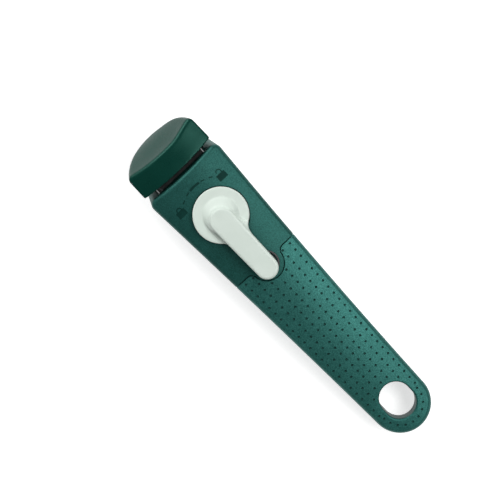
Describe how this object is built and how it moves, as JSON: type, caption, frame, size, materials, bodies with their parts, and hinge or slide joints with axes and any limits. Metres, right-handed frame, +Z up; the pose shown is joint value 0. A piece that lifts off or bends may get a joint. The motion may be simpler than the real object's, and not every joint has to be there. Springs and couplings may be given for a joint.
{
  "type": "detachable cookware handle",
  "caption": "Long tapered clamp-on handle for pots and pans: a turning lever opens a sprung jaw at the front, a button frees the jaw, and the tail has an oval hang hole.",
  "frame": {"origin": "on the resting plane, under the middle of the overall box", "axes": "+X along the handle from the jaws to the hang hole, +Z up through the lever's hub, +Y to the left seen from the tail"},
  "size_m": [0.1966, 0.0448, 0.038],
  "materials": {
    "cover_plastic": "fine grained matte teal green moulding",
    "grip_plastic": "matte teal green moulding with rows of small dimples",
    "base_plastic": "fine grained matte teal green moulding",
    "mark_ink": "dark print in shallow recesses",
    "head_plastic": "dark green semi-gloss moulding",
    "lever_plastic": "pale mint satin moulding",
    "button_plastic": "black satin moulding",
    "sheet_steel": "brushed stainless sheet",
    "turned_steel": "turned and ground steel",
    "spring_steel": "drawn spring wire",
    "screw_steel": "zinc plated steel",
    "bush_bronze": "sintered bronze",
    "cam_plastic": "natural white acetal",
    "rail_plastic": "natural white acetal",
    "pad_silicone": "black ribbed silicone"
  },
  "bodies": {
    "body": {"front_cover": "cover_plastic", "mark_inlay": "mark_ink", "grip_cover": "grip_plastic", "base": "base_plastic", "chassis": "sheet_steel", "left_rail": "rail_plastic", "right_rail": "rail_plastic", "hub_bush": "bush_bronze", "deck_bush": "bush_bronze", "cam_washer": "turned_steel", "outer_pad": "pad_silicone", "spring_rods": "turned_steel", "pawl_pin": "turned_steel", "base_screws": "screw_steel", "rear_screws": "screw_steel", "deck_screws": "screw_steel", "grip_screws": "screw_steel", "jaw_springs": "spring_steel", "pawl_spring": "spring_steel"},
    "jaw": {"head_cap": "head_plastic", "jaw_slide": "sheet_steel", "jaw_pad": "pad_silicone", "head_screws": "screw_steel", "follower_pin": "turned_steel", "follower_roller": "turned_steel"},
    "cam": {"scroll_cam": "cam_plastic"},
    "collar": {"thrust_washer": "turned_steel", "hub_spring": "spring_steel"},
    "lever": {"lever": "lever_plastic", "spindle": "turned_steel", "e_clip": "spring_steel"},
    "button": {"release_button": "button_plastic"},
    "pawl": {"latch_pawl": "cam_plastic"}
  },
  "joints": [
    {"name": "lever_press", "type": "slide", "parent": "body", "child": "collar", "axis": [0, 0, -1], "range_m": [0, 0.0015], "stiffness_N_per_m": 1500, "springref_m": -0.0025, "deforming": ["hub_spring"]},
    {"name": "lever_turn", "type": "hinge", "parent": "collar", "child": "lever", "pos_m": [-0.04595, 0, 0.0293], "axis": [0, 0, -1], "range_deg": [0, 90]},
    {"name": "cam_turn", "type": "hinge", "parent": "body", "child": "cam", "pos_m": [-0.04595, 0, 0.0167], "axis": [0, 0, -1], "range_deg": [0, 90]},
    {"name": "jaw_travel", "type": "slide", "parent": "body", "child": "jaw", "axis": [-1, 0, 0], "range_m": [0, 0.007], "deforming": ["jaw_springs"]},
    {"name": "button_press", "type": "slide", "parent": "body", "child": "button", "axis": [0, 0, -1], "range_m": [0, 0.0015], "stiffness_N_per_m": 600, "springref_m": -0.002},
    {"name": "pawl_turn", "type": "hinge", "parent": "body", "child": "pawl", "pos_m": [0.00935, 0, 0.0172], "axis": [0, -1, 0], "range_deg": [0, 3.72], "deforming": ["pawl_spring"]}
  ],
  "couplings": [
    {"joint": "cam_turn", "follows": "lever_turn", "ratio": 1},
    {"joint": "jaw_travel", "follows": "lever_turn", "m_per_rad": 0.004456},
    {"joint": "pawl_turn", "follows": "button_press", "rad_per_m": 43.06}
  ]
}
